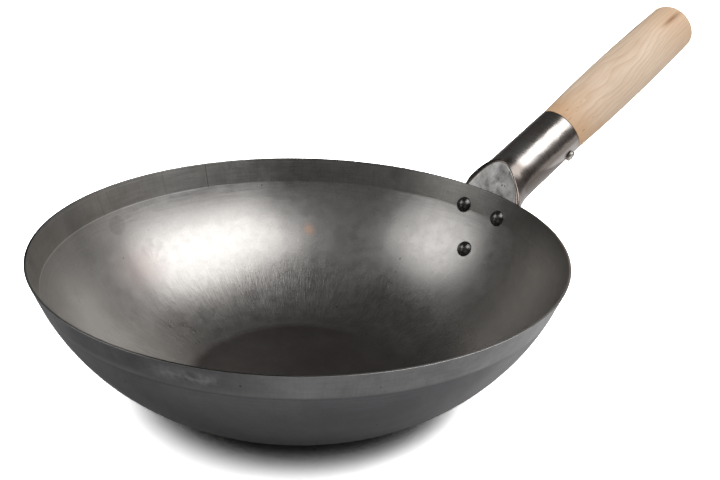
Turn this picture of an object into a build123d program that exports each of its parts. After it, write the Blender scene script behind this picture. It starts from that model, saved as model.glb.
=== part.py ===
"""A flat-bottomed carbon steel wok with a riveted sheet steel socket and a turned wooden grip.

The origin is the middle of the flat base's underside. +Z is up and +X is the side that the handle leaves.
"""
from build123d import *
from math import acos, asin, atan, atan2, cos, hypot, pi, radians, sin, sqrt, tan
import os

os.makedirs("parts", exist_ok=True)

# Bowl: one spun sheet, measured on its outer face
bowl_sheet = 1.5
rim_radius = 178.0
rim_height = 101.0
band_run = 6.9
band_height = 17.4
base_radius = 74.0
wall_bulge = 14.6
base_corner_radius = 20.0
rim_edge_radius = 0.25

# Handle's centre line: it crosses the rim's radius a little below the rim and climbs outward
axis_drop = 4.5
axis_slope_degrees = 28.0

# Socket: one sheet rolled to a tube, opened out at its lower end and pressed against the wall
socket_sheet = 1.8
mouth_distance = 84.0
mouth_radius = 19.8
neck_distance = 26.0
neck_radius = 20.15
flare_depth = 8.0
flare_half_width = 30.3
flare_half_height = 18.0
flare_rise = 6.0
flare_lean = 4.0
flare_run_out = 26.0
plate_gap = 0.25
arch_gap = 0.35
plate_corner_radius = 13.0
plate_toe_radius = 12.0
throat_radius = 14.0
throat_inset = 5.0
throat_drop = 8.0
seam_width = 1.2
arch_reach = 40.0
mouth_edge_radius = 0.4
arch_edge_radius = 1.0

# Rivets: two above the crease and one below it, with domed heads inside the bowl and closed tails outside
upper_rivet_side = 18.0
upper_rivet_rise = 2.4
lower_rivet_drop = 25.6
rivet_head_radius = 6.0
rivet_head_height = 4.6
rivet_head_lip = 0.5
rivet_tail_radius = 4.8
rivet_tail_height = 2.4
rivet_shank_radius = 2.5
rivet_hole_clearance = 0.2
rivet_seat_gap = 0.25

# Wooden grip: a tenon inside the socket, a shoulder over its mouth, a slight swell and a low dome
tenon_length = 44.0
tenon_clearance = 0.3
tenon_lead = 1.5
shoulder_gap = 0.3
shoulder_radius = 19.6
swell_distance = 150.0
swell_radius = 21.2
waist_distance = 205.0
waist_radius = 20.5
dome_distance = 229.0
dome_radius = 19.7
dome_height = 12.0

# Screw through the socket into the tenon, on the lower right side near the mouth
screw_distance = 72.0
screw_angle_degrees = 62.5
screw_head_radius = 4.2
screw_head_height = 2.6
screw_head_edge_radius = 1.3
screw_shank_radius = 2.0
screw_root_radius = 1.4
screw_thread_pitch = 1.6
screw_length = 13.0
screw_tip_length = 3.0
screw_plain_length = 2.6
screw_hole_clearance = 0.3
screw_seat_gap = 0.1
recess_reach = 2.3
recess_width = 0.95
recess_depth = 1.5
recess_taper_degrees = 12.0

# One overrun serves every cut that has to pass right through
overrun = 5.0

crease_radius = rim_radius - band_run
crease_height = rim_height - band_height
upper_rivet_height = crease_height + upper_rivet_rise
lower_rivet_height = crease_height - lower_rivet_drop
throat_top_height = rim_height - throat_drop

# The curved wall is an arc whose middle stands out from the straight line between base and crease
wall_chord = hypot(crease_radius - base_radius, crease_height)
wall_arc_radius = (wall_chord ** 2 / 4 + wall_bulge ** 2) / (2 * wall_bulge)
wall_chord_angle = atan2(crease_height, crease_radius - base_radius)
wall_half_turn = 2 * atan(2 * wall_bulge / wall_chord)
base_slope = wall_chord_angle - wall_half_turn
arc_centre_radius = base_radius - wall_arc_radius * sin(base_slope)
arc_centre_height = wall_arc_radius * cos(base_slope)
band_length = hypot(band_run, band_height)
band_slope = atan2(band_height, band_run)

axis_slope = radians(axis_slope_degrees)
axis_start = Vector(rim_radius, 0, rim_height - axis_drop)
axis_direction = Vector(cos(axis_slope), 0, sin(axis_slope))
handle_axis = Axis(axis_start, axis_direction)
handle_side = Plane(origin=axis_start, x_dir=axis_direction, z_dir=(0, -1, 0))

# Turned forms start from these upright planes, so that no seam of theirs lies under the handle
far_side = Plane(origin=(0, 0, 0), x_dir=(-1, 0, 0), z_dir=(0, 1, 0))
right_side = Plane(origin=(0, 0, 0), x_dir=(0, -1, 0), z_dir=(-1, 0, 0))


def on_arc(growth, slope):
    """Point on the curved wall, moved outward by a distance, where the wall has this slope."""
    radius = wall_arc_radius + growth
    return Vector(arc_centre_radius + radius * sin(slope), arc_centre_height - radius * cos(slope))


def on_band(growth, along):
    """Point on the band, moved outward by a distance, this far up from the crease."""
    return Vector(
        crease_radius + along * cos(band_slope) + growth * sin(band_slope),
        crease_height + along * sin(band_slope) - growth * cos(band_slope),
    )


def crease_slope(growth):
    """Slope of the curved wall where it meets the band, both moved outward by the same distance."""
    start = on_band(growth, 0) - Vector(arc_centre_radius, arc_centre_height)
    along = start.X * cos(band_slope) + start.Y * sin(band_slope)
    reach = sqrt(along ** 2 - start.length ** 2 + (wall_arc_radius + growth) ** 2)
    step = min(reach - along, -reach - along, key=abs)
    meeting = start + Vector(step * cos(band_slope), step * sin(band_slope))
    return atan2(meeting.X, -meeting.Y)


def outer_wall(height):
    """Radius and slope of the bowl's outer face at a height."""
    if height >= crease_height:
        return on_band(0, (height - crease_height) / sin(band_slope)).X, band_slope
    slope = acos((arc_centre_height - height) / wall_arc_radius)
    return on_arc(0, slope).X, slope


def outside_wall(point):
    """How far a point lies outside the bowl's outer face, its band carried on upward as a cone."""
    radius = hypot(point.X, point.Y)
    if point.Z >= crease_height:
        return (radius - crease_radius) * sin(band_slope) - (point.Z - crease_height) * cos(band_slope)
    return hypot(radius - arc_centre_radius, point.Z - arc_centre_height) - wall_arc_radius


def wall_edges(growth, start_slope, band_reach):
    """Arc and straight band of the wall's outline, moved outward by some distance."""
    end_slope = crease_slope(growth)
    arc = ThreePointArc(
        on_arc(growth, start_slope), on_arc(growth, (start_slope + end_slope) / 2), on_arc(growth, end_slope)
    )
    return arc, Line(arc @ 1, on_band(growth, band_reach))


def wall_plane(side, height):
    """Plane on the bowl's outer face, with z pointing straight out of the wall."""
    radius, slope = outer_wall(height)
    turn = asin(side / radius)
    origin = Vector(radius * cos(turn), side, height)
    outward = Vector(sin(slope) * cos(turn), sin(slope) * sin(turn), -cos(slope))
    return Plane(origin=origin, x_dir=(-sin(turn), cos(turn), 0), z_dir=outward)


def station(distance):
    """Plane square to the handle's centre line, with x towards +Y and y upward."""
    return Plane(origin=axis_start + axis_direction * distance, x_dir=(0, 1, 0), z_dir=axis_direction)


def off_axis(point):
    """Distance of a point from the handle's centre line."""
    return (point - axis_start).cross(axis_direction).length


def tube_radius(distance):
    """The socket tapers evenly from its neck to its mouth."""
    share = (distance - neck_distance) / (mouth_distance - neck_distance)
    return neck_radius + (mouth_radius - neck_radius) * share


rivet_places = {
    "rivet_left": (upper_rivet_side, upper_rivet_height),
    "rivet_right": (-upper_rivet_side, upper_rivet_height),
    "rivet_lower": (0, lower_rivet_height),
}
rivet_hole_radius = rivet_shank_radius + rivet_hole_clearance

# Bowl: flat base, curved wall and conical band trimmed level at the rim, revolved, with three rivet holes
with BuildPart() as bowl:
    with BuildSketch(far_side) as bowl_section:
        with BuildLine():
            inner_base_slope = acos((arc_centre_height - bowl_sheet) / (wall_arc_radius - bowl_sheet))
            outer_arc, outer_band = wall_edges(0, base_slope, band_length)
            inner_reach = band_length - bowl_sheet / tan(band_slope)
            inner_arc, inner_band = wall_edges(-bowl_sheet, inner_base_slope, inner_reach)
            Line(outer_band @ 1, inner_band @ 1)
            Polyline(outer_arc @ 0, (0, 0), (0, bowl_sheet), inner_arc @ 0)
        make_face()
        base_corners = [outer_arc @ 0, inner_arc @ 0]
        rim_corners = [outer_band @ 1, inner_band @ 1]
        fillet(bowl_section.vertices().sort_by_distance(base_corners[0])[0], base_corner_radius)
        fillet(bowl_section.vertices().sort_by_distance(base_corners[1])[0], base_corner_radius - bowl_sheet)
        for corner in rim_corners:
            fillet(bowl_section.vertices().sort_by_distance(corner)[0], rim_edge_radius)
    revolve(axis=Axis.Z)
    for side, height in rivet_places.values():
        with BuildSketch(wall_plane(side, height)):
            Circle(rivet_hole_radius)
        extrude(amount=overrun, both=True, mode=Mode.SUBTRACT)
bowl.part.label = "bowl"
export_step(bowl.part, "parts/bowl.step")


def grown_bowl(growth):
    """Handle's half of a solid that fills the bowl grown by some distance, its band carried on upward."""
    with BuildPart() as space:
        with BuildSketch(right_side):
            with BuildLine():
                arc, band = wall_edges(growth, base_slope, band_length + arch_reach)
                top, low = band @ 1, arc @ 0
                Polyline(top, (0, top.Y), (0, low.Y), low)
            make_face()
        revolve(axis=Axis.Z, revolution_arc=180)
    return space.part


def flare_share(distance):
    """How far the tube has opened out, from none at the neck to all of it just inside the wall."""
    turn_share = min(max((neck_distance - distance) / (neck_distance + flare_depth), 0), 1)
    return sin(turn_share * pi / 2) ** 2


def socket_form(inset, lengthening):
    """Closed form of the rolled sheet: round at the mouth, wide, lifted and pressed a little to -Y at the wall."""
    stations = 14
    start = mouth_distance + lengthening
    step = (start + flare_run_out) / stations
    with BuildPart() as form:
        for distance in [start - index * step for index in range(stations + 1)]:
            opened = flare_share(distance)
            round_radius = tube_radius(max(distance, neck_distance))
            half_width = round_radius + (flare_half_width - neck_radius) * opened
            half_height = round_radius + (flare_half_height - neck_radius) * opened
            with BuildSketch(station(distance)):
                with Locations((-flare_lean * opened, flare_rise * opened)):
                    Ellipse(half_height - inset, half_width - inset, rotation=-90)
        loft()
    return form.part


# Sheet thickness that follows the whole outer wall and carries on above the rim
with BuildPart() as wall_sheet:
    add(grown_bowl(plate_gap + socket_sheet))
    add(grown_bowl(plate_gap), mode=Mode.SUBTRACT)

# Plate: the part of that sheet that the rivets pass through, a rounded triangle seen from the bowl
with BuildPart() as plate:
    with BuildSketch(Plane.YZ):
        with Locations((upper_rivet_side, upper_rivet_height), (-upper_rivet_side, upper_rivet_height)):
            Circle(plate_corner_radius)
        with Locations((0, lower_rivet_height)):
            Circle(plate_toe_radius)
        make_hull()
    extrude(amount=rim_radius + overrun)
    add(wall_sheet.part, mode=Mode.INTERSECT)

screw_turn = radians(screw_angle_degrees)
screw_outward = Vector(0, -sin(screw_turn), 0) - station(0).y_dir * cos(screw_turn)
screw_plane = Plane(
    origin=axis_start + axis_direction * screw_distance, x_dir=axis_direction, z_dir=screw_outward
)
screw_hole_radius = screw_shank_radius + screw_hole_clearance

# Hollow: all that is left out behind the sheet on the wall, which is the bore, the throat and the seam
with BuildPart() as hollow:
    add(socket_form(socket_sheet, overrun))
    with BuildSketch(Plane.XZ):
        with BuildLine():
            start = Vector(rim_radius - flare_half_width, throat_top_height)
            ceiling = Line(start, (rim_radius + throat_inset, throat_top_height))
            turn = JernArc(start=ceiling @ 1, tangent=(1, 0), radius=throat_radius, arc_size=-90)
            Polyline(turn @ 1, ((turn @ 1).X, 0), (start.X, 0), start)
        make_face()
    extrude(amount=flare_half_width + overrun, both=True)
    with BuildSketch(station(mouth_distance + overrun)):
        with Locations((0, -neck_radius)):
            Rectangle(seam_width, neck_radius)
    extrude(amount=-(mouth_distance + overrun))
    add(grown_bowl(arch_gap + socket_sheet), mode=Mode.SUBTRACT)

# Socket: rolled tube that ends in a rounded arch on the wall, with the plate below it
with BuildPart() as handle_socket:
    add(socket_form(0, 0))
    add(grown_bowl(arch_gap), mode=Mode.SUBTRACT)
    wall_corners = [
        edge
        for edge in handle_socket.edges().filter_by(GeomType.BSPLINE)
        if outside_wall(edge @ 0.5) < arch_gap + socket_sheet / 2
    ]
    fillet(wall_corners, arch_edge_radius)
    add(hollow.part, mode=Mode.SUBTRACT)
    add(plate.part)
    for side, height in rivet_places.values():
        with BuildSketch(wall_plane(side, height)):
            Circle(rivet_hole_radius)
        extrude(amount=overrun, mode=Mode.SUBTRACT)
    with BuildSketch(screw_plane):
        Circle(screw_hole_radius)
    extrude(amount=mouth_radius + overrun, mode=Mode.SUBTRACT)
    mouth_face = handle_socket.faces().filter_by(GeomType.PLANE).sort_by(handle_axis)[-1]
    mouth_corners = [
        edge for edge in mouth_face.edges() if off_axis(edge @ 0.5) > mouth_radius - socket_sheet / 4
    ]
    fillet(mouth_corners, mouth_edge_radius)
handle_socket.part.label = "handle_socket"
export_step(handle_socket.part, "parts/handle_socket.step")

# Wooden grip: tenon, shoulder, swell and dome turned about the handle's centre line
tenon_radius = mouth_radius - socket_sheet - tenon_clearance
with BuildPart() as wood_handle:
    with BuildSketch(handle_side):
        with BuildLine():
            tenon_end = mouth_distance - tenon_length
            shoulder = mouth_distance + shoulder_gap
            Polyline(
                (dome_distance + dome_height, 0),
                (tenon_end, 0),
                (tenon_end, tenon_radius - tenon_lead),
                (tenon_end + tenon_lead, tenon_radius),
                (shoulder, tenon_radius),
                (shoulder, shoulder_radius),
            )
            Spline(
                (shoulder, shoulder_radius),
                (swell_distance, swell_radius),
                (waist_distance, waist_radius),
                (dome_distance, dome_radius),
            )
            EllipticalCenterArc((dome_distance, 0), dome_height, dome_radius, start_angle=0, arc_size=90)
        make_face()
    revolve(axis=handle_axis)
    with BuildSketch(screw_plane):
        Circle(screw_shank_radius + tenon_clearance / 2)
    extrude(amount=mouth_radius, mode=Mode.SUBTRACT)
wood_handle.part.label = "wood_handle"
export_step(wood_handle.part, "parts/wood_handle.step")


def cap_arc(base, height, radius):
    """Arc of a round cap on the x axis, from its rim to its crown. A negative height faces the other way."""
    ball_radius = (radius ** 2 + height ** 2) / (2 * abs(height))
    half_turn = asin(radius / ball_radius) / 2
    crown = base + height
    centre = crown - (ball_radius if height > 0 else -ball_radius)
    shoulder = (centre + (crown - centre) * cos(half_turn), ball_radius * sin(half_turn))
    return ThreePointArc((base, radius), shoulder, (crown, 0))


# Rivets: a domed head inside the bowl, a shank through wall and plate, and a low closed tail outside
for name, (side, height) in rivet_places.items():
    wall_face = wall_plane(side, height)
    rivet_side = Plane(origin=wall_face.origin, x_dir=wall_face.z_dir, z_dir=wall_face.x_dir)
    head_seat = -(bowl_sheet + rivet_seat_gap)
    head_lip = head_seat - rivet_head_lip
    tail_seat = plate_gap + socket_sheet + rivet_seat_gap
    with BuildPart() as rivet:
        with BuildSketch(rivet_side):
            with BuildLine():
                head = cap_arc(head_lip, rivet_head_lip - rivet_head_height, rivet_head_radius)
                tail = cap_arc(tail_seat, rivet_tail_height, rivet_tail_radius)
                Polyline(
                    head @ 0,
                    (head_seat, rivet_head_radius),
                    (head_seat, rivet_shank_radius),
                    (tail_seat, rivet_shank_radius),
                    tail @ 0,
                )
                Line(head @ 1, tail @ 1)
            make_face()
        revolve(axis=Axis(wall_face.origin, wall_face.z_dir))
    rivet.part.label = name
    export_step(rivet.part, f"parts/{name}.step")

# Screw: pan head with a cross recess, plain neck, ridged shank and a point
head_seat = tube_radius(screw_distance) + screw_seat_gap
screw_side = Plane(origin=screw_plane.origin, x_dir=screw_plane.z_dir, z_dir=screw_plane.x_dir)
with BuildPart() as socket_screw:
    with BuildSketch(screw_side) as screw_section:
        with BuildLine():
            neck_end = head_seat - screw_plain_length
            thread_end = head_seat - screw_length + screw_tip_length
            ridges = int((neck_end - thread_end) / screw_thread_pitch)
            outline = [
                (head_seat + screw_head_height, 0),
                (head_seat + screw_head_height, screw_head_radius),
                (head_seat, screw_head_radius),
                (head_seat, screw_shank_radius),
                (neck_end, screw_shank_radius),
            ]
            for ridge in range(ridges):
                ridge_start = neck_end - ridge * screw_thread_pitch
                outline.append((ridge_start - screw_thread_pitch / 2, screw_root_radius))
                outline.append((ridge_start - screw_thread_pitch, screw_shank_radius))
            outline.append((thread_end, screw_root_radius))
            outline.append((head_seat - screw_length, 0))
            Polyline(*outline, close=True)
        make_face()
        head_corner = screw_section.vertices().sort_by(lambda v: -v.X - v.Y)[0]
        fillet(head_corner, screw_head_edge_radius)
    revolve(axis=Axis(screw_plane.origin, screw_plane.z_dir))
    with BuildSketch(screw_plane.offset(head_seat + screw_head_height)):
        Rectangle(2 * recess_reach, recess_width)
        Rectangle(recess_width, 2 * recess_reach)
    extrude(amount=-recess_depth, taper=recess_taper_degrees, mode=Mode.SUBTRACT)
socket_screw.part.label = "socket_screw"
export_step(socket_screw.part, "parts/socket_screw.step")
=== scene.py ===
# %% [markdown]
# # A carbon steel wok, dressed in Blender
#
# The solids come from the CAD model and keep their shapes: a spun steel bowl, a rolled sheet socket, a
# turned wooden grip, three rivets and a screw. This lesson gives each of them the finish of the real
# thing, then adds a floor, the light of a small studio and a camera at the photograph's viewing angle.

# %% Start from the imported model
from math import atan2, cos, radians, sin

import bmesh
import bpy
from mathutils import Matrix, Vector


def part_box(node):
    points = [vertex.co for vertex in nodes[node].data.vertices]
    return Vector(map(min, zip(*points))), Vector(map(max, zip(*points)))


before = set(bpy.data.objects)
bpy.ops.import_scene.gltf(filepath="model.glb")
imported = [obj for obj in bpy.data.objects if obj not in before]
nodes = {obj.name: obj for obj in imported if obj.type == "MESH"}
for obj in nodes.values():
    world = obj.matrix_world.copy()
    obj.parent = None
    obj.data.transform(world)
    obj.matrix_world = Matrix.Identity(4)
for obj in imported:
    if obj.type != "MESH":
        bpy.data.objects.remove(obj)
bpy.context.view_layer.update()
print("pieces:", sorted(nodes))

# %% [markdown]
# ## Sizes that the finishes need
#
# A finish changes where the steel changes: at the edge of the flat base, at the crease below the rim's
# band, and on the sheet that lies on the wall. These few lengths and slopes are the CAD model's own. The
# rim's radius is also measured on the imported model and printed, so that it can be compared with them.

# %% Lengths in metres and slopes in radians
bowl_low, bowl_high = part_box("bowl")
rim_radius = (bowl_high.x - bowl_low.x) / 2
band_top_radius = 0.178
rim_height = 0.101
crease_radius = 0.1711
crease_height = 0.0836
base_radius = 0.074
band_slope = atan2(rim_height - crease_height, band_top_radius - crease_radius)
handle_slope = radians(28)
handle_start = Vector((band_top_radius, 0, 0.0965))
mouth_distance = 0.084
print("rim radius", round(rim_radius, 4), "band slope", round(band_slope, 3))

# %% [markdown]
# ## Helpers for node trees
#
# A material is a small network of nodes. These short helpers keep the cells below readable: they add a
# node with its options, join it to others, do a sum, turn a stretch of values into a soft mask or a thin
# line, and mix two colours or two numbers.

# %% Node helpers
def add_node(tree, kind, **options):
    """Adds a node of this kind and sets its options."""
    made = tree.nodes.new(kind)
    for name, value in options.items():
        setattr(made, name, value)
    return made


def plug(tree, socket, value):
    """Joins a socket to another node's output, or sets it to a plain value."""
    if isinstance(value, bpy.types.NodeSocket):
        tree.links.new(value, socket)
    else:
        socket.default_value = value


def maths(tree, operation, first, second=0.0, third=0.0):
    """One Math node, with numbers or other nodes' outputs as its inputs."""
    made = add_node(tree, "ShaderNodeMath", operation=operation)
    for socket, value in zip(made.inputs, (first, second, third)):
        plug(tree, socket, value)
    return made.outputs[0]


def ramp_mask(tree, value, low, high):
    """0 below the low value, 1 above the high one, and a smooth step between.

    A low value above the high one turns it round.
    """
    made = add_node(tree, "ShaderNodeMapRange", interpolation_type="SMOOTHSTEP")
    plug(tree, made.inputs["Value"], value)
    start, end = (0.0, 1.0) if low < high else (1.0, 0.0)
    made.inputs["From Min"].default_value = min(low, high)
    made.inputs["From Max"].default_value = max(low, high)
    made.inputs["To Min"].default_value = start
    made.inputs["To Max"].default_value = end
    return made.outputs["Result"]


def line_mask(tree, value, middle, half_width):
    """1 on a narrow line where the value is at its middle, and 0 past its half width."""
    away = maths(tree, "ABSOLUTE", maths(tree, "SUBTRACT", value, middle))
    return ramp_mask(tree, away, half_width, 0.0)


def blend_colour(tree, share, first, second, mode="MIX"):
    """Mixes two colours by a share."""
    made = add_node(tree, "ShaderNodeMix", data_type="RGBA", blend_type=mode)
    plug(tree, made.inputs["Factor"], share)
    plug(tree, made.inputs["A"], first if isinstance(first, bpy.types.NodeSocket) else (*first, 1))
    plug(tree, made.inputs["B"], second if isinstance(second, bpy.types.NodeSocket) else (*second, 1))
    return made.outputs["Result"]


def blend_value(tree, share, first, second):
    """Mixes two numbers by a share."""
    made = add_node(tree, "ShaderNodeMix", data_type="FLOAT")
    plug(tree, made.inputs["Factor"], share)
    plug(tree, made.inputs["A"], first)
    plug(tree, made.inputs["B"], second)
    return made.outputs["Result"]


print("helpers ready")

# %% [markdown]
# ## Shared effects as node groups
#
# Steel and wood share three effects: fine lines that a brush, a belt or a cutter leaves, soft cloudy
# patches, and small dark specks. Each is a node group that is built once and placed in every material
# with its own scale, so that one change reaches them all.

# %% Make an empty group with named sockets
def new_group(name, inputs, outputs):
    """A shader node group with float or vector inputs, given with their first values, and float outputs."""
    group = bpy.data.node_groups.new(name, "ShaderNodeTree")
    for label, value in inputs.items():
        kind = "NodeSocketVector" if value is None else "NodeSocketFloat"
        socket = group.interface.new_socket(label, in_out="INPUT", socket_type=kind)
        if value is not None:
            socket.default_value = value
    for label in outputs:
        group.interface.new_socket(label, in_out="OUTPUT", socket_type="NodeSocketFloat")
    return group, group.nodes.new("NodeGroupInput"), group.nodes.new("NodeGroupOutput")


def use_group(tree, group, **values):
    """Places a group in a material and returns its outputs. Underscores in the names stand for spaces."""
    made = add_node(tree, "ShaderNodeGroup", node_tree=group)
    for label, value in values.items():
        plug(tree, made.inputs[label.replace("_", " ")], value)
    return made.outputs


# %% Fine lines: one broad noise and one fine noise on stretched coordinates
line_inputs = {"Vector": None, "Scale": 100.0, "Fineness": 4.0}
line_group, line_in, line_out = new_group("fine_lines", line_inputs, ["Lines"])
broad = add_node(line_group, "ShaderNodeTexNoise")
fine = add_node(line_group, "ShaderNodeTexNoise")
fine_scale = maths(line_group, "MULTIPLY", line_in.outputs["Scale"], line_in.outputs["Fineness"])
for texture, scale in ((broad, line_in.outputs["Scale"]), (fine, fine_scale)):
    line_group.links.new(line_in.outputs["Vector"], texture.inputs["Vector"])
    line_group.links.new(scale, texture.inputs["Scale"])
    texture.inputs["Detail"].default_value = 2.0
both = blend_value(line_group, 0.5, broad.outputs["Fac"], fine.outputs["Fac"])
line_group.links.new(ramp_mask(line_group, both, 0.32, 0.68), line_out.inputs["Lines"])

# %% Clouds: soft patches with some smaller ones inside
cloud_group, cloud_in, cloud_out = new_group("clouds", {"Vector": None, "Scale": 20.0}, ["Clouds"])
patch = add_node(cloud_group, "ShaderNodeTexNoise")
patch.inputs["Detail"].default_value = 5.0
patch.inputs["Roughness"].default_value = 0.6
patch.inputs["Distortion"].default_value = 0.4
cloud_group.links.new(cloud_in.outputs["Vector"], patch.inputs["Vector"])
cloud_group.links.new(cloud_in.outputs["Scale"], patch.inputs["Scale"])
cloud_group.links.new(ramp_mask(cloud_group, patch.outputs["Fac"], 0.3, 0.7), cloud_out.inputs["Clouds"])

# %% Specks: some cells of a Voronoi pattern hold a small spot
speck_inputs = {"Vector": None, "Scale": 60.0, "Share": 0.1, "Size": 0.2}
speck_group, speck_in, speck_out = new_group("specks", speck_inputs, ["Specks"])
cells = add_node(speck_group, "ShaderNodeTexVoronoi")
speck_group.links.new(speck_in.outputs["Vector"], cells.inputs["Vector"])
speck_group.links.new(speck_in.outputs["Scale"], cells.inputs["Scale"])
cell_colour = add_node(speck_group, "ShaderNodeSeparateColor")
speck_group.links.new(cells.outputs["Color"], cell_colour.inputs["Color"])
chosen = maths(speck_group, "LESS_THAN", cell_colour.outputs["Red"], speck_in.outputs["Share"])
own_size = maths(speck_group, "ADD", cell_colour.outputs["Green"], 0.3)
reach = maths(speck_group, "MULTIPLY", speck_in.outputs["Size"], own_size)
near = maths(speck_group, "SUBTRACT", 1.0, maths(speck_group, "DIVIDE", cells.outputs["Distance"], reach))
spot = maths(speck_group, "MULTIPLY", ramp_mask(speck_group, near, 0.0, 0.6), chosen)
speck_group.links.new(spot, speck_out.inputs["Specks"])
print("groups:", [g.name for g in bpy.data.node_groups])

# %% [markdown]
# ## Starting a finish
#
# Every finish below starts the same way: a material with a Principled BSDF and the Object coordinates,
# which are metres in the CAD model's frame because no piece is moved. For turned pieces the height, the
# radius and the direction around the upright axis are worth more than x, y and z.

# %% Start a material
def new_finish(name):
    """A material with its tree, its Principled BSDF and the Object coordinates."""
    material = bpy.data.materials.new(name)
    material.use_nodes = True
    tree = material.node_tree
    shader = tree.nodes["Principled BSDF"]
    place = add_node(tree, "ShaderNodeTexCoord").outputs["Object"]
    return material, tree, shader, place


def split_xyz(tree, vector):
    """The three parts of a vector, as outputs named X, Y and Z."""
    made = add_node(tree, "ShaderNodeSeparateXYZ")
    tree.links.new(vector, made.inputs[0])
    return made.outputs


def round_places(tree, place):
    """Radius from the upright axis, height, and the direction around it as x and y of length 1."""
    x, y, height = split_xyz(tree, place)
    radius = maths(tree, "SQRT", maths(tree, "MULTIPLY_ADD", x, x, maths(tree, "MULTIPLY", y, y)))
    return radius, height, maths(tree, "DIVIDE", x, radius), maths(tree, "DIVIDE", y, radius)


def join_xyz(tree, x, y, z):
    """A vector from three values."""
    made = add_node(tree, "ShaderNodeCombineXYZ")
    for socket, value in zip(made.inputs, (x, y, z)):
        plug(tree, socket, value)
    return made.outputs[0]


def finish_surface(tree, shader, height, depth):
    """Gives the surface a bump of this depth in metres."""
    bump = add_node(tree, "ShaderNodeBump")
    bump.inputs["Strength"].default_value = 1.0
    bump.inputs["Distance"].default_value = depth
    plug(tree, bump.inputs["Height"], height)
    tree.links.new(bump.outputs["Normal"], shader.inputs["Normal"])


def scaled(tree, value, factor):
    """A value times a plain number."""
    return maths(tree, "MULTIPLY", value, factor)


def spot_mask(tree, vector, centre, reach, soft=0.5):
    """1 in the middle of an egg-shaped space and 0 outside it, given by its centre and its reach."""
    moved = add_node(tree, "ShaderNodeMapping", vector_type="TEXTURE")
    moved.inputs["Location"].default_value = centre
    moved.inputs["Scale"].default_value = reach
    tree.links.new(vector, moved.inputs["Vector"])
    size = add_node(tree, "ShaderNodeVectorMath", operation="LENGTH")
    tree.links.new(moved.outputs[0], size.inputs[0])
    return ramp_mask(tree, size.outputs["Value"], 1.0, soft)


def dress(material, *names):
    """Gives CAD pieces a material."""
    for name in names:
        slots = nodes[name].data.materials
        slots.clear()
        slots.append(material)


# %% [markdown]
# ## Bowl steel
#
# The bowl is bare spun steel. Inside, a belt has left short strokes that run up the lower wall and fine
# rings below the crease. The flat base is duller, and so is the band below the rim. Outside, the steel is
# darker and faintly blue. Inside and outside are one mesh, so the surface's own normal tells them apart: it
# points upward everywhere inside and downward everywhere outside.
#
# Some tones here are painted light and shade, fitted to the photograph's view: painted shade on the right,
# the left and the low part of the wall, and on the right of the band and of the outside; a painted dark line
# along the outer crease; painted highlights as pale lines along the inner crease and under the rim, and on
# the cut edge of the rim, pale at the front right, less so at the front left, and dark elsewhere; and a small
# painted warm reflection. They bring the render closer to the photograph there, and whoever lights the wok in
# another way may take them out.

# %% Bowl: soft edges of its zones, in metres, from where a zone starts to where it is full
base_edge = (base_radius + 0.009, base_radius - 0.003)
crease_edge = (0.0830, 0.0842)
outer_crease_edge = (0.0815, 0.0855)
rim_edge_fade = (0.099, 0.1005)
stroke_top, stroke_foot = (0.142, 0.118), (0.076, 0.09)
ring_foot, ring_top = (0.064, 0.078), (0.0845, 0.0825)
low_wall_fade = (0.048, 0.012)
soot_edge = (0.08, 0.09)
print("zone edges ready")

# %% Bowl: masks for its zones
bowl_steel, tree, shader, place = new_finish("bowl_bare_steel")
radius, height, around_x, around_y = round_places(tree, place)
upward = split_xyz(tree, add_node(tree, "ShaderNodeNewGeometry").outputs["Normal"])["Z"]
inside = ramp_mask(tree, upward, -0.02, 0.02)
faces_up = ramp_mask(tree, upward, 0.75, 0.95)
on_edge = maths(tree, "MULTIPLY", faces_up, ramp_mask(tree, height, *rim_edge_fade))
patches = use_group(tree, cloud_group, Vector=place, Scale=25.0)["Clouds"]
clouds = use_group(tree, cloud_group, Vector=place, Scale=11.0)["Clouds"]
fine_clouds = use_group(tree, cloud_group, Vector=place, Scale=130.0)["Clouds"]
wandering = maths(tree, "MULTIPLY_ADD", patches, 0.004, radius)
on_base = ramp_mask(tree, wandering, *base_edge)
on_band = ramp_mask(tree, height, *crease_edge)

# %% Bowl: belt strokes on the lower wall, rings below the crease, upright marks on the band
stroke_place = join_xyz(tree, around_x, around_y, scaled(tree, radius, 1.1))
strokes = use_group(tree, line_group, Vector=stroke_place, Scale=95.0, Fineness=2.1)["Lines"]
ring_place = join_xyz(tree, scaled(tree, around_x, 0.01), scaled(tree, around_y, 0.01), height)
rings = use_group(tree, line_group, Vector=ring_place, Scale=520.0, Fineness=2.4)["Lines"]
above_base = ramp_mask(tree, radius, *stroke_foot)
low_wall = maths(tree, "MULTIPLY", ramp_mask(tree, wandering, *stroke_top), above_base)
high_wall = maths(tree, "MULTIPLY", ramp_mask(tree, height, *ring_foot), ramp_mask(tree, height, *ring_top))
upright_place = join_xyz(tree, around_x, around_y, scaled(tree, height, 0.5))
upright = use_group(tree, line_group, Vector=upright_place, Scale=95.0, Fineness=3.0)["Lines"]

# %% Bowl: specks, scratches and stains of use
grains = use_group(tree, cloud_group, Vector=place, Scale=600.0)["Clouds"]
specks = use_group(tree, speck_group, Vector=place, Scale=85.0, Share=0.6, Size=0.075)["Specks"]
scratch_place = add_node(tree, "ShaderNodeMapping")
scratch_place.inputs["Rotation"].default_value = (0.3, 0.5, 0.7)
scratch_place.inputs["Scale"].default_value = (1.0, 0.14, 1.0)
tree.links.new(place, scratch_place.inputs["Vector"])
scratches = use_group(
    tree, speck_group, Vector=scratch_place.outputs[0], Scale=70.0, Share=0.05, Size=0.035
)["Specks"]
blemishes = maths(tree, "MAXIMUM", scaled(tree, specks, 0.8), scaled(tree, scratches, 0.25))
ticks = line_mask(tree, around_x, 0.189, 0.003)
for turn_share in (-0.024, -0.374):
    faint = scaled(tree, line_mask(tree, around_x, turn_share, 0.0028), 0.45)
    ticks = maths(tree, "MAXIMUM", ticks, faint)
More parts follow.
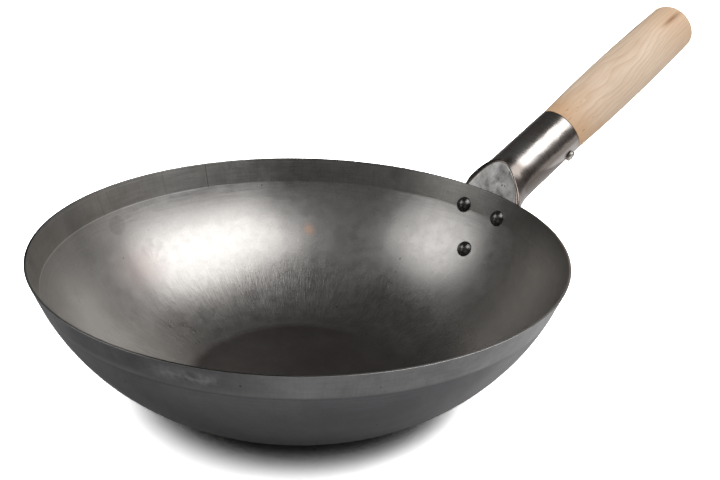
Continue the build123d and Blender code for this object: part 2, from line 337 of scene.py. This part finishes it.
ticks = maths(tree, "MULTIPLY", maths(tree, "MULTIPLY", ticks, ramp_mask(tree, around_y, 0.0, 0.2)), on_band)
heat_tint = spot_mask(tree, place, (-0.05, 0.136, 0.046), (0.04, 0.05, 0.03), 0.0)
# Painted reflection: a small bright warm spot on the wall.
painted_warm_reflection = spot_mask(tree, place, (0.0942, 0.1151, 0.0503), (0.006, 0.008, 0.008), 0.0)
water_mark = spot_mask(tree, place, (-0.03, 0.146, 0.0505), (0.013, 0.02, 0.011), 0.75)
fan_up = maths(tree, "ADD", height, -0.0435)
fan_along = maths(tree, "ADD", split_xyz(tree, place)["X"], 0.033)
fan_turn = maths(tree, "ARCTAN2", fan_up, fan_along)
fan = maths(tree, "SINE", maths(tree, "MULTIPLY_ADD", fan_turn, 9.0, scaled(tree, fine_clouds, 2.5)))
water_mark = maths(tree, "MULTIPLY", water_mark, maths(tree, "MULTIPLY_ADD", fan, 0.3, 0.4))

# %% Bowl: colour inside
wall_colour = blend_colour(tree, clouds, (0.42, 0.405, 0.39), (0.5, 0.485, 0.468))
# Painted shade: the inside is darker on the right, on the left and on the low part of the wall.
towards_right = maths(tree, "MULTIPLY_ADD", around_x, 0.79, scaled(tree, around_y, -0.61))
right_side = ramp_mask(tree, towards_right, 0.78, 0.98)
towards_left = maths(tree, "MULTIPLY_ADD", around_x, -0.96, scaled(tree, around_y, -0.28))
left_side = ramp_mask(tree, towards_left, 0.74, 0.97)
painted_shade_sides = maths(tree, "MAXIMUM", right_side, scaled(tree, left_side, 0.9))
painted_shade_low = scaled(tree, ramp_mask(tree, height, *low_wall_fade), 0.75)
painted_shade_sides = maths(tree, "MAXIMUM", painted_shade_sides, painted_shade_low)
wall_colour = blend_colour(tree, painted_shade_sides, wall_colour, (0.31, 0.295, 0.28))
wall_colour = blend_colour(tree, scaled(tree, heat_tint, 0.45), wall_colour, (0.43, 0.34, 0.32))
# Painted warm reflection.
wall_colour = blend_colour(tree, scaled(tree, painted_warm_reflection, 0.6), wall_colour, (0.9, 0.55, 0.38))
base_colour = blend_colour(tree, patches, (0.145, 0.13, 0.125), (0.185, 0.17, 0.162))
band_colour = blend_colour(tree, patches, (0.33, 0.315, 0.295), (0.41, 0.395, 0.375))
inner = blend_colour(tree, on_base, wall_colour, base_colour)
# Painted shade on the right of the band.
band_colour = blend_colour(tree, scaled(tree, right_side, 0.6), band_colour, (0.24, 0.23, 0.215))
inner = blend_colour(tree, on_band, inner, band_colour)
dark_patch = spot_mask(tree, place, (-0.0545, 0.1555, 0.0745), (0.009, 0.012, 0.008), 0.7)
inner = blend_colour(tree, scaled(tree, dark_patch, 0.3), inner, (0.25, 0.24, 0.23))
# Painted highlight: a pale line along part of the crease.
crease_line = line_mask(tree, height, crease_height, 0.0007)
crease_shine = maths(tree, "MULTIPLY", crease_line, ramp_mask(tree, around_x, 0.5, 0.1))
inner = blend_colour(tree, scaled(tree, crease_shine, 0.85), inner, (0.72, 0.71, 0.69))
# Painted highlight: a pale line under part of the rim.
under_rim = line_mask(tree, height, 0.0988, 0.0006)
rim_glint = maths(tree, "MULTIPLY", under_rim, ramp_mask(tree, around_y, 0.2, 0.7))
inner = blend_colour(tree, scaled(tree, rim_glint, 0.5), inner, (0.5, 0.49, 0.48))
inner = blend_colour(tree, scaled(tree, ticks, 0.7), inner, (0.06, 0.055, 0.05))
inner = blend_colour(tree, scaled(tree, water_mark, 0.25), inner, (0.2, 0.19, 0.18))

# %% Bowl: colour outside
outer = blend_colour(tree, clouds, (0.14, 0.138, 0.145), (0.215, 0.212, 0.22))
low_warmth = ramp_mask(tree, height, 0.05, 0.005)
outer = blend_colour(tree, scaled(tree, low_warmth, 0.6), outer, (0.115, 0.098, 0.09))
outer_band = blend_colour(tree, patches, (0.205, 0.203, 0.206), (0.315, 0.313, 0.316))
outer = blend_colour(tree, ramp_mask(tree, height, *outer_crease_edge), outer, outer_band)
# Painted shade: a dark line along the outer crease.
outer_crease_shade = line_mask(tree, height, 0.0828, 0.0012)
outer = blend_colour(tree, scaled(tree, outer_crease_shade, 0.3), outer, (0.08, 0.08, 0.085))
# The outer band is darker on its left, in patches.
uneven = maths(tree, "MULTIPLY_ADD", patches, 0.55, 0.45)
darker_left_band = maths(tree, "MULTIPLY", ramp_mask(tree, height, *soot_edge), uneven)
darker_left_band = maths(tree, "MULTIPLY", darker_left_band, ramp_mask(tree, around_x, -0.6, -0.82))
outer = blend_colour(tree, scaled(tree, darker_left_band, 0.85), outer, (0.085, 0.085, 0.09))
rubbed = spot_mask(tree, place, (-0.147, -0.094, 0.0925), (0.034, 0.034, 0.009), 0.0)
rubbed = maths(tree, "MULTIPLY", rubbed, fine_clouds)
# Painted shade on the right of the outside.
outer = blend_colour(tree, scaled(tree, right_side, 0.35), outer, (0.11, 0.109, 0.114))
outer = blend_colour(tree, scaled(tree, rubbed, 0.9), outer, (0.42, 0.41, 0.4))

# %% Bowl: put colour, roughness and bump together
stroke_share = scaled(tree, maths(tree, "MULTIPLY", strokes, low_wall), 1.7)
ring_share = scaled(tree, maths(tree, "MULTIPLY", rings, high_wall), 0.6)
band_share = maths(tree, "MULTIPLY", blend_value(tree, 0.5, upright, rings), on_band)
lines = maths(tree, "ADD", maths(tree, "ADD", stroke_share, ring_share), band_share)
line_shade = maths(tree, "MULTIPLY_ADD", lines, 0.16, maths(tree, "MULTIPLY_ADD", grains, 0.07, 0.88))
bare = blend_colour(tree, inside, outer, inner)
# Painted highlight on the rim's cut edge: pale at the front right, less so at the front left, and dark
# elsewhere.
towards_front_right = maths(tree, "SUBTRACT", scaled(tree, around_x, 0.25), around_y)
front_right = ramp_mask(tree, towards_front_right, 0.55, 0.95)
front_left = ramp_mask(tree, around_x, -0.86, -0.96)
painted_rim_highlight = maths(tree, "MAXIMUM", front_right, scaled(tree, front_left, 0.6))
edge_colour = blend_colour(tree, painted_rim_highlight, (0.12, 0.117, 0.113), (0.8, 0.79, 0.78))
bare = blend_colour(tree, on_edge, bare, edge_colour)
shaded = blend_colour(tree, 1.0, bare, join_xyz(tree, line_shade, line_shade, line_shade), "MULTIPLY")
colour = blend_colour(tree, blemishes, shaded, (0.035, 0.03, 0.026))
tree.links.new(colour, shader.inputs["Base Color"])
shader.inputs["Metallic"].default_value = 1.0
broad_roughness = maths(tree, "MULTIPLY_ADD", clouds, 0.08, 0.25)
wall_roughness = maths(tree, "MULTIPLY_ADD", fine_clouds, 0.05, broad_roughness)
inner_roughness = blend_value(tree, on_base, wall_roughness, 0.46)
roughness = blend_value(tree, inside, maths(tree, "MULTIPLY_ADD", patches, 0.08, 0.38), inner_roughness)
tree.links.new(blend_value(tree, on_edge, roughness, 0.3), shader.inputs["Roughness"])
relief = maths(tree, "MULTIPLY_ADD", fine_clouds, 0.4, maths(tree, "MULTIPLY_ADD", grains, 0.2, lines))
finish_surface(tree, shader, maths(tree, "SUBTRACT", relief, blemishes), 0.000028)
dress(bowl_steel, "bowl")
print("bowl dressed with", len(tree.nodes), "nodes")

# %% [markdown]
# ## Socket steel
#
# The socket was rolled from sheet and polished on a belt that ran around the tube, so its fine lines go round
# and change along the handle's line. The sheet that faces the wall was not polished: it shows above the rim
# as a pale, blotchy arch with small pits and a worn edge, with a painted highlight along part of that edge. A
# point belongs to it when it lies close outside the cone of the bowl's band and below a curve that is the
# arch's outline.
#
# The real sheet bends softly beside the arch, where the solid has a sharper step. A painted dark strip of
# shade and a rounding in the bump stand for that bend. The brown stripes along the tube are painted shade,
# fitted to the photograph's view like the painted shade of the bowl.

# %% Socket: coordinates along the handle's line
def along_handle(tree, place):
    """Object coordinates turned so that x runs along the handle from where it leaves the rim."""
    made = add_node(tree, "ShaderNodeMapping", vector_type="TEXTURE")
    made.inputs["Location"].default_value = handle_start
    made.inputs["Rotation"].default_value = (0, -handle_slope, 0)
    tree.links.new(place, made.inputs["Vector"])
    return made.outputs[0]


def stretch(tree, vector, x, y, z):
    """A vector times three shares."""
    made = add_node(tree, "ShaderNodeVectorMath", operation="MULTIPLY")
    tree.links.new(vector, made.inputs[0])
    made.inputs[1].default_value = (x, y, z)
    return made.outputs[0]


def tube_side(tree, parts, turn):
    """1 on the tube's side at this angle from its top towards the camera, and 0 a quarter turn on."""
    across, upward = parts["Y"], parts["Z"]
    upward_squared = maths(tree, "MULTIPLY", upward, upward)
    size = maths(tree, "SQRT", maths(tree, "MULTIPLY_ADD", across, across, upward_squared))
    upward_share = scaled(tree, upward, cos(radians(turn)))
    reached = maths(tree, "MULTIPLY_ADD", across, -sin(radians(turn)), upward_share)
    return maths(tree, "DIVIDE", reached, size)


# %% Socket: the arch's places in metres, and the curvature of its flanks and of the bend
sheet_edge = (0.00065, 0.00045)
arch_top, arch_middle = 0.1229, -0.0024
right_flank, left_flank = 32.0, 38.0
lean_flank = 33.0
rim_crossing = 0.1035
thinnest_shadow = 0.001
roundness = -140.0
print("arch top", arch_top)

# %% Socket: masks
socket_steel, tree, shader, place = new_finish("socket_satin_steel")
radius, height, around_x, around_y = round_places(tree, place)
out_from_crease = scaled(tree, maths(tree, "SUBTRACT", radius, crease_radius), sin(band_slope))
up_from_crease = scaled(tree, maths(tree, "SUBTRACT", height, crease_height), cos(band_slope))
off_wall = maths(tree, "SUBTRACT", out_from_crease, up_from_crease)
flat_face = ramp_mask(tree, off_wall, *sheet_edge)
from_peak = maths(tree, "ADD", split_xyz(tree, place)["Y"], -arch_middle)
flank = blend_value(tree, ramp_mask(tree, from_peak, -0.001, 0.001), right_flank, left_flank)
curve_drop = maths(tree, "MULTIPLY", maths(tree, "MULTIPLY", from_peak, from_peak), flank)
under_curve = maths(tree, "SUBTRACT", maths(tree, "SUBTRACT", arch_top, curve_drop), height)
steepness = scaled(tree, from_peak, 2 * lean_flank)
lean = maths(tree, "SQRT", maths(tree, "MULTIPLY_ADD", steepness, steepness, 1.0))
into_arch = maths(tree, "DIVIDE", under_curve, lean)
on_arch = maths(tree, "MULTIPLY", flat_face, ramp_mask(tree, into_arch, -0.0002, 0.0003))
near_side = ramp_mask(tree, from_peak, 0.002, -0.004)
# Painted highlight: a pale line along part of the arch's worn edge.
worn_edge_highlight = maths(tree, "MULTIPLY", line_mask(tree, into_arch, 0.0003, 0.0004), near_side)
worn_edge_highlight = maths(tree, "MULTIPLY", worn_edge_highlight, flat_face)
beyond = maths(tree, "MAXIMUM", scaled(tree, into_arch, -1.0), 0.0)
above_crossing = maths(tree, "SUBTRACT", height, rim_crossing)
shadow_width = maths(tree, "MULTIPLY_ADD", above_crossing, 0.13, thinnest_shadow)
shadow_width = maths(tree, "MAXIMUM", shadow_width, thinnest_shadow)
bend_shadow = ramp_mask(tree, maths(tree, "DIVIDE", beyond, shadow_width), 1.3, 0.6)
bend_shadow = maths(tree, "MULTIPLY", bend_shadow, maths(tree, "MAXIMUM", near_side, flat_face))
rounding = maths(tree, "MULTIPLY", maths(tree, "MULTIPLY", beyond, beyond), roundness)
rounding = maths(tree, "MULTIPLY", rounding, flat_face)

# %% Socket: the polished tube
along = along_handle(tree, place)
brush_place = stretch(tree, along, 1.0, 0.08, 0.08)
brush = use_group(tree, line_group, Vector=brush_place, Scale=900.0, Fineness=2.2)["Lines"]
tube_clouds = use_group(tree, cloud_group, Vector=place, Scale=28.0)["Clouds"]
tube = blend_colour(tree, tube_clouds, (0.46, 0.42, 0.39), (0.56, 0.53, 0.51))
tube = blend_colour(tree, scaled(tree, brush, 0.12), tube, (0.2, 0.17, 0.15))
handle_parts = split_xyz(tree, along)
# Painted shadow: a dark ring at the tube's mouth, in the gap where the grip's shoulder meets it.
gap_shadow_edge = (mouth_distance - 0.0012, mouth_distance - 0.0002)
mouth_gap_shadow = ramp_mask(tree, handle_parts["X"], *gap_shadow_edge)
# Painted shade: brown stripes along the tube's sides.
painted_brown_shade = ramp_mask(tree, tube_side(tree, handle_parts, 76), 0.93, 0.985)
tube = blend_colour(tree, scaled(tree, painted_brown_shade, 0.85), tube, (0.24, 0.2, 0.178))
painted_left_shade = ramp_mask(tree, tube_side(tree, handle_parts, -45), 0.6, 0.98)
tube = blend_colour(tree, scaled(tree, painted_left_shade, 0.4), tube, (0.3, 0.25, 0.225))
tube = blend_colour(tree, scaled(tree, mouth_gap_shadow, 0.6), tube, (0.1, 0.07, 0.05))
tube = blend_colour(tree, scaled(tree, bend_shadow, 0.85), tube, (0.16, 0.135, 0.12))

# %% Socket: the unpolished arch, with blotches, pits and a smudge beside its worn edge
blotches = use_group(tree, cloud_group, Vector=place, Scale=115.0)["Clouds"]
grains = use_group(tree, cloud_group, Vector=place, Scale=420.0)["Clouds"]
pits = use_group(tree, speck_group, Vector=place, Scale=260.0, Share=0.5, Size=0.2)["Specks"]
arch = blend_colour(tree, blotches, (0.5, 0.49, 0.47), (0.97, 0.96, 0.94))
arch = blend_colour(tree, scaled(tree, grains, 0.3), arch, (0.42, 0.4, 0.38))
smudge = spot_mask(tree, place, (0.1849, -0.0126, 0.1186), (0.004, 0.0014, 0.0035), 0.2)
dark_pits = spot_mask(tree, place, (0.1809, -0.0094, 0.1081), (0.003, 0.0008, 0.0008), 0.5)
second_pit = spot_mask(tree, place, (0.1808, -0.0122, 0.1083), (0.003, 0.0006, 0.0007), 0.5)
dark_pits = maths(tree, "MAXIMUM", dark_pits, second_pit)
soft_marks = maths(tree, "MAXIMUM", scaled(tree, pits, 0.7), scaled(tree, smudge, 0.7))
marks = maths(tree, "MAXIMUM", soft_marks, dark_pits)
arch = blend_colour(tree, marks, arch, (0.05, 0.045, 0.04))

# %% Socket: put colour, roughness and bump together
colour = blend_colour(tree, on_arch, tube, arch)
# Painted highlight along the worn edge.
colour = blend_colour(tree, scaled(tree, worn_edge_highlight, 0.7), colour, (0.85, 0.84, 0.82))
tree.links.new(colour, shader.inputs["Base Color"])
shader.inputs["Metallic"].default_value = 1.0
cloudy_roughness = maths(tree, "MULTIPLY_ADD", tube_clouds, 0.05, 0.22)
tube_roughness = maths(tree, "MULTIPLY_ADD", brush, 0.06, cloudy_roughness)
arch_roughness = maths(tree, "MULTIPLY_ADD", blotches, 0.2, 0.27)
tree.links.new(blend_value(tree, on_arch, tube_roughness, arch_roughness), shader.inputs["Roughness"])
tube_relief = scaled(tree, brush, 0.07)
uneven = maths(tree, "MULTIPLY_ADD", grains, 0.3, scaled(tree, blotches, 0.8))
arch_relief = maths(tree, "SUBTRACT", uneven, marks)
fine_relief = scaled(tree, blend_value(tree, on_arch, tube_relief, arch_relief), 0.00004)
finish_surface(tree, shader, maths(tree, "ADD", fine_relief, rounding), 1.0)
dress(socket_steel, "handle_socket")
print("socket dressed with", len(tree.nodes), "nodes")

# %% [markdown]
# ## Grip wood
#
# The grip is pale unvarnished hardwood. Growth rings are cylinders around a line that runs beside the grip
# and at a slight angle to it, so the turned surface cuts them into long lines. A noise makes them wavy, fine
# pores follow the grain, and the wood is more orange and speckled where it meets the socket. A brown streak
# and a small dark patch lie near the end.

# %% Wood: growth rings and pores
grip_wood, tree, shader, place = new_finish("grip_bare_wood")
along = along_handle(tree, place)
distance, across, upward = split_xyz(tree, along)
warp = add_node(tree, "ShaderNodeTexNoise")
tree.links.new(stretch(tree, along, 9.0, 22.0, 22.0), warp.inputs["Vector"])
warp.inputs["Scale"].default_value = 1.0
warp.inputs["Detail"].default_value = 3.0
bend = scaled(tree, maths(tree, "SUBTRACT", warp.outputs["Fac"], 0.5), 0.026)
ring_y = maths(tree, "MULTIPLY_ADD", distance, 0.10, maths(tree, "ADD", across, -0.002))
ring_z = maths(tree, "MULTIPLY_ADD", distance, -0.05, maths(tree, "ADD", upward, 0.017))
ring_z_squared = maths(tree, "MULTIPLY", ring_z, ring_z)
ring_radius = maths(tree, "SQRT", maths(tree, "MULTIPLY_ADD", ring_y, ring_y, ring_z_squared))
ring_width = 0.0031
ring_count = maths(tree, "DIVIDE", maths(tree, "ADD", ring_radius, bend), ring_width)
late_wood = maths(tree, "POWER", maths(tree, "FRACT", ring_count), 3.0)
ring_tone = add_node(tree, "ShaderNodeTexNoise", noise_dimensions="1D")
ring_tone.inputs["Scale"].default_value = 0.6
tree.links.new(ring_count, ring_tone.inputs["W"])
pore_place = stretch(tree, along, 0.06, 1.0, 1.0)
pores = use_group(tree, line_group, Vector=pore_place, Scale=520.0, Fineness=2.6)["Lines"]
tone = use_group(tree, cloud_group, Vector=stretch(tree, along, 0.45, 1.0, 1.0), Scale=34.0)["Clouds"]
speck_place = stretch(tree, along, 0.35, 1.0, 1.0)
pore_specks = use_group(tree, speck_group, Vector=speck_place, Scale=420.0, Share=0.5, Size=0.3)["Specks"]

# %% Wood: orange near the socket, a brown streak at the end, a dark patch and a crack at the mouth
mouth_fade = maths(tree, "MULTIPLY_ADD", tone, 0.016, distance)
near_mouth = ramp_mask(tree, mouth_fade, mouth_distance + 0.055, mouth_distance + 0.01)
stain = spot_mask(tree, along, (0.221, -0.0105, 0.0155), (0.019, 0.0032, 0.006), 0.0)
stain_halo = spot_mask(tree, along, (0.222, -0.009, 0.0155), (0.026, 0.009, 0.01), 0.0)
stain = maths(tree, "MULTIPLY", stain, maths(tree, "MULTIPLY_ADD", pores, 0.4, 0.75))
# A small dark patch near the end.
dark_end_patch = spot_mask(tree, along, (0.199, 0.011, 0.0165), (0.014, 0.004, 0.006), 0.2)
crack = spot_mask(tree, along, (0.0865, -0.0128, 0.0128), (0.005, 0.0007, 0.003), 0.3)
end_fade = ramp_mask(tree, mouth_fade, 0.195, 0.245)

# %% Wood: colour, roughness and bump
pale = blend_colour(tree, tone, (0.73, 0.56, 0.415), (0.82, 0.665, 0.52))
wood = blend_colour(tree, scaled(tree, ring_tone.outputs["Fac"], 0.35), pale, (0.70, 0.51, 0.36))
wood = blend_colour(tree, scaled(tree, late_wood, 0.58), wood, (0.60, 0.41, 0.27))
wood = blend_colour(tree, scaled(tree, pores, 0.32), wood, (0.52, 0.35, 0.23))
wood = blend_colour(tree, scaled(tree, near_mouth, 0.7), wood, (0.62, 0.37, 0.19))
speckled = maths(tree, "MULTIPLY", pore_specks, maths(tree, "MULTIPLY_ADD", near_mouth, 0.55, 0.06))
wood = blend_colour(tree, speckled, wood, (0.36, 0.2, 0.11))
wood = blend_colour(tree, scaled(tree, end_fade, 0.5), wood, (0.64, 0.41, 0.24))
wood = blend_colour(tree, scaled(tree, stain_halo, 0.4), wood, (0.62, 0.38, 0.2))
wood = blend_colour(tree, scaled(tree, stain, 0.95), wood, (0.31, 0.145, 0.065))
wood = blend_colour(tree, scaled(tree, dark_end_patch, 0.8), wood, (0.09, 0.07, 0.055))
wood = blend_colour(tree, scaled(tree, crack, 0.9), wood, (0.07, 0.035, 0.02))
tree.links.new(wood, shader.inputs["Base Color"])
tree.links.new(maths(tree, "MULTIPLY_ADD", late_wood, -0.06, 0.56), shader.inputs["Roughness"])
shader.inputs["Specular IOR Level"].default_value = 0.35
sunk = maths(tree, "MULTIPLY_ADD", crack, 2.0, scaled(tree, pores, 0.7))
grain_relief = maths(tree, "SUBTRACT", scaled(tree, late_wood, 0.6), sunk)
finish_surface(tree, shader, grain_relief, 0.00005)
dress(grip_wood, "wood_handle")
print("grip dressed with", len(tree.nodes), "nodes")

# %% [markdown]
# ## Rivets and screw
#
# The rivets are black and smooth, so they show small sharp lights. The screw is plated, brighter and
# warmer, with cloudy tones.

# %% Rivets and screw
rivet_steel, tree, shader, place = new_finish("rivet_black_steel")
clouds = use_group(tree, cloud_group, Vector=place, Scale=220.0)["Clouds"]
blackened = blend_colour(tree, clouds, (0.11, 0.107, 0.105), (0.19, 0.186, 0.182))
tree.links.new(blackened, shader.inputs["Base Color"])
shader.inputs["Metallic"].default_value = 1.0
tree.links.new(maths(tree, "MULTIPLY_ADD", clouds, 0.12, 0.22), shader.inputs["Roughness"])
finish_surface(tree, shader, clouds, 0.00006)
dress(rivet_steel, "rivet_left", "rivet_right", "rivet_lower")

screw_steel, tree, shader, place = new_finish("screw_plated_steel")
clouds = use_group(tree, cloud_group, Vector=place, Scale=300.0)["Clouds"]
tree.links.new(blend_colour(tree, clouds, (0.34, 0.30, 0.27), (0.6, 0.56, 0.52)), shader.inputs["Base Color"])
shader.inputs["Metallic"].default_value = 1.0
tree.links.new(maths(tree, "MULTIPLY_ADD", clouds, 0.15, 0.2), shader.inputs["Roughness"])
finish_surface(tree, shader, clouds, 0.00004)
dress(screw_steel, "socket_screw")
print("materials:", sorted(m.name for m in bpy.data.materials if m.users))

# %% [markdown]
# ## Floor
#
# The wok stands on white paper. A photograph of this kind is exposed until the paper is pure white and only
# the dark shadow close under the bowl is left. The paper does the same: the camera sees it with a colour
# over 1, so lit paper reaches white and the shadow stays, while the wok gets the light of ordinary paper. How
# dark the shadow is follows how much of the sky the wok hides. In reflections the paper has tones of its own,
# brighter behind the wok and dimmer at one corner, set by comparison with the photograph.

# %% Floor
floor_mesh = bpy.data.meshes.new("floor")
floor_form = bmesh.new()
bmesh.ops.create_grid(floor_form, x_segments=1, y_segments=1, size=6.0)
floor_form.to_mesh(floor_mesh)
floor_form.free()
floor = bpy.data.objects.new("floor", floor_mesh)
bpy.context.scene.collection.objects.link(floor)
floor_paper, tree, shader, place = new_finish("floor_paper")
grain = use_group(tree, cloud_group, Vector=place, Scale=9.0)["Clouds"]
paper = add_node(tree, "ShaderNodeBsdfDiffuse")
rays = add_node(tree, "ShaderNodeLightPath").outputs
plain = blend_colour(tree, grain, (0.79, 0.79, 0.79), (0.81, 0.81, 0.81))
floor_parts = split_xyz(tree, place)
towards_far_side = maths(tree, "MULTIPLY_ADD", floor_parts["Y"], 0.4, floor_parts["X"])
far_side = ramp_mask(tree, towards_far_side, -0.2, 0.14)
reflected = blend_colour(tree, far_side, (0.52, 0.52, 0.52), (1.0, 1.0, 1.0))
dim_corner = spot_mask(tree, place, (0.62, -0.25, 0.0), (0.46, 0.46, 0.46), 0.3)
reflected = blend_colour(tree, scaled(tree, dim_corner, 0.35), reflected, (0.1, 0.1, 0.1))
in_steel = blend_colour(tree, rays["Is Glossy Ray"], plain, reflected)
shelter = add_node(tree, "ShaderNodeAmbientOcclusion", samples=32)
shelter.inputs["Distance"].default_value = 0.25
open_share = ramp_mask(tree, shelter.outputs["AO"], 0.13, 0.33)
bright = blend_colour(tree, open_share, (0.1, 0.1, 0.1), (4.8, 4.8, 4.8))
tree.links.new(blend_colour(tree, rays["Is Camera Ray"], in_steel, bright), paper.inputs["Color"])
tree.links.new(paper.outputs[0], tree.nodes["Material Output"].inputs["Surface"])
tree.nodes.remove(shader)
floor_mesh.materials.append(floor_paper)

# %% [markdown]
# ## Light
#
# One large soft lamp stands high on the camera's right. It gives the broad white light inside the bowl and
# along the socket, and it is rolled a little, because that light lies aslant in the photograph. A smaller,
# dimmer one on the left gives the second soft light. The world is white for the camera and grey for lighting.
# Bare steel needs something to reflect, so for glossy rays the world is a dark room with a few soft glows,
# whose places and strengths were set by comparison with the photograph.

# %% Lamps
wok_middle = Vector((0.05, 0, 0.07))
lamp_distance = 1.7


def direction(turn, lift):
    """A direction of length 1, from its turn and its lift in degrees."""
    level = cos(radians(lift))
    return Vector((level * cos(radians(turn)), level * sin(radians(turn)), sin(radians(lift))))


def soft_lamp(name, turn, lift, width, length, power, roll=0):
    """An area lamp that faces the wok from a direction in degrees, rolled in its own plane."""
    data = bpy.data.lights.new(name, "AREA")
    data.shape, data.size, data.size_y, data.energy = "RECTANGLE", width, length, power
    lamp = bpy.data.objects.new(name, data)
    bpy.context.scene.collection.objects.link(lamp)
    away = direction(turn, lift)
    lamp.location = wok_middle + away * lamp_distance
    rolled = Matrix.Rotation(radians(roll), 4, "Z")
    lamp.rotation_euler = (away.to_track_quat("Z", "Y").to_matrix().to_4x4() @ rolled).to_euler()


soft_lamp("key_lamp", turn=-54, lift=57, width=2.05, length=1.1, power=19.5, roll=-17)
soft_lamp("far_lamp", turn=146, lift=38, width=1.05, length=0.85, power=4.6)
print("lamps:", [item.name for item in bpy.data.lights])

# %% World
world = bpy.data.worlds.new("studio")
bpy.context.scene.world = world
world.use_nodes = True
tree = world.node_tree
backdrop = tree.nodes["Background"]
rays = add_node(tree, "ShaderNodeLightPath").outputs
towards = add_node(tree, "ShaderNodeTexCoord").outputs["Generated"]


def glow(tree, vector, turn, lift, start, full):
    """1 around a direction given in degrees. Start and full are the cosines of the angles of its edge."""
    made = add_node(tree, "ShaderNodeVectorMath", operation="DOT_PRODUCT")
    tree.links.new(vector, made.inputs[0])
    made.inputs[1].default_value = direction(turn, lift)
    return ramp_mask(tree, made.outputs["Value"], start, full)


# Each small glow: turn, lift, cosines of its outer and its inner edge, and the light that it adds
small_glows = (
    (0, 18, 0.75, 1.0, 0.2),
    (146, 34, 0.90, 1.0, 0.3),
    (-145, 48, 0.82, 1.0, 0.12),
)
room_light, lamp_surround, cove_light, fill_light = 0.055, 0.4, 0.8, 0.45
seen_in_steel = blend_value(tree, glow(tree, towards, -50, 40, 0.82, 0.98), room_light, lamp_surround)
for *place_and_edge, added in small_glows:
    small_glow = glow(tree, towards, *place_and_edge)
    seen_in_steel = maths(tree, "MULTIPLY_ADD", small_glow, added, seen_in_steel)
sweep = glow(tree, towards, 45, -22, 0.80, 0.98)
seen_in_steel = blend_value(tree, sweep, seen_in_steel, cove_light)
strength = blend_value(tree, rays["Is Glossy Ray"], fill_light, seen_in_steel)
strength = blend_value(tree, rays["Is Camera Ray"], strength, 1.0)
tree.links.new(strength, backdrop.inputs["Strength"])
backdrop.inputs["Color"].default_value = (1, 1, 1, 1)
bpy.context.scene.view_settings.view_transform = "Standard"
print("lamps and world ready")

# %% [markdown]
# ## Camera
#
# The photograph was taken from above the rim on the side away from the handle. The place, the aim, the
# small roll and the focal length were worked out from the rim's ellipse and the handle's ends.

# %% Camera
camera_place = Vector((-0.41111, -0.54755, 0.39074))
camera_aim = Vector((0.09908, 0.05703, 0.0600))
camera_roll = radians(2.136)
focal_pixels, image_width = 1115.2, 720

forward = (camera_aim - camera_place).normalized()
level_right = forward.cross(Vector((0, 0, 1))).normalized()
level_up = level_right.cross(forward)
right = level_right * cos(camera_roll) + level_up * sin(camera_roll)
up = level_up * cos(camera_roll) - level_right * sin(camera_roll)

camera_data = bpy.data.cameras.new("camera")
camera_data.sensor_width = 36
camera_data.lens = focal_pixels * camera_data.sensor_width / image_width
camera_data.clip_start = 0.01
camera = bpy.data.objects.new("camera", camera_data)
bpy.context.scene.collection.objects.link(camera)
camera_axes = Matrix((right, up, -forward)).transposed().to_4x4()
camera.matrix_world = Matrix.Translation(camera_place) @ camera_axes
bpy.context.scene.camera = camera
print("lens", round(camera_data.lens, 2), "mm")
